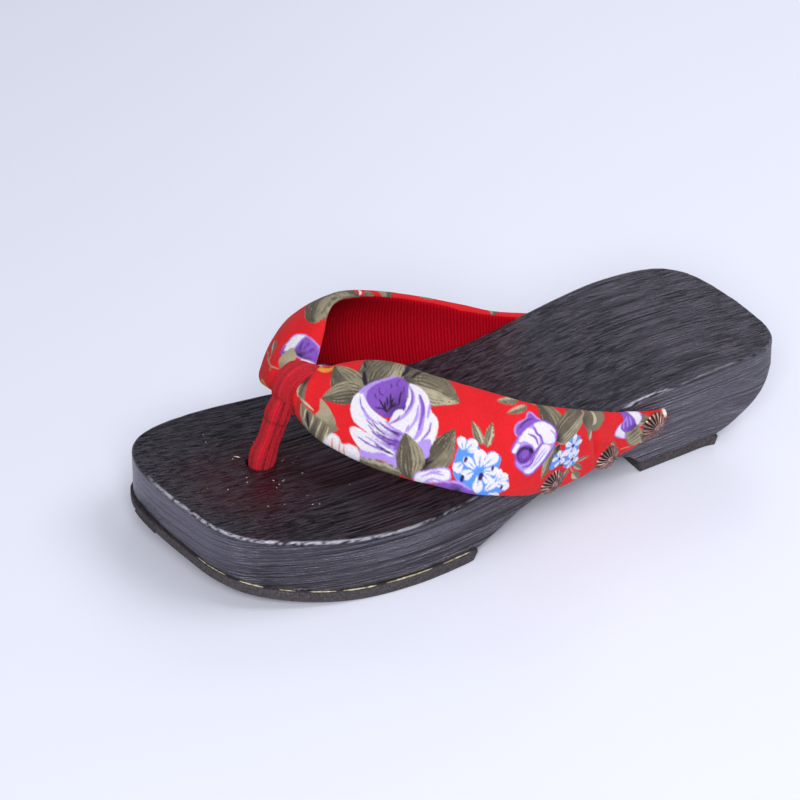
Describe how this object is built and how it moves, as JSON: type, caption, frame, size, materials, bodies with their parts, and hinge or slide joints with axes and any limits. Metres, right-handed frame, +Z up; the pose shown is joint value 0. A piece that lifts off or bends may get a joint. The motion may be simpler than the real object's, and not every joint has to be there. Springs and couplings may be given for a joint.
{
  "type": "geta sandal",
  "caption": "Left wooden geta sandal: waisted black-lacquered deck on rubber treads, wide floral cloth strap looped by a red knitted toe thong and nailed to the side walls.",
  "frame": {"origin": "bottom centre of the whole sandal's box, on the floor that both treads stand on", "axes": "-Y to the toe, +Y to the heel, +X to the outer (lateral) side, +Z up"},
  "size_m": [0.107, 0.2414, 0.0709],
  "materials": {
    "lacquered_wood": "semi-gloss black lacquer over brushed, raised grain",
    "tread_rubber": "matte",
    "print_cotton": "padded red cotton with a floral print, deep red ribbed lining",
    "knit_thong": "crimson knitted tube",
    "aged_bronze": "aged copper and bronze"
  },
  "bodies": {
    "root": {"body": "lacquered_wood", "tread_front": "tread_rubber", "tread_heel": "tread_rubber", "strap": "print_cotton", "thong": "knit_thong", "tack_outer_front": "aged_bronze", "tack_outer_middle": "aged_bronze", "tack_outer_back": "aged_bronze", "tack_inner_front": "aged_bronze", "tack_inner_middle": "aged_bronze", "tack_inner_back": "aged_bronze"}
  },
  "joints": []
}
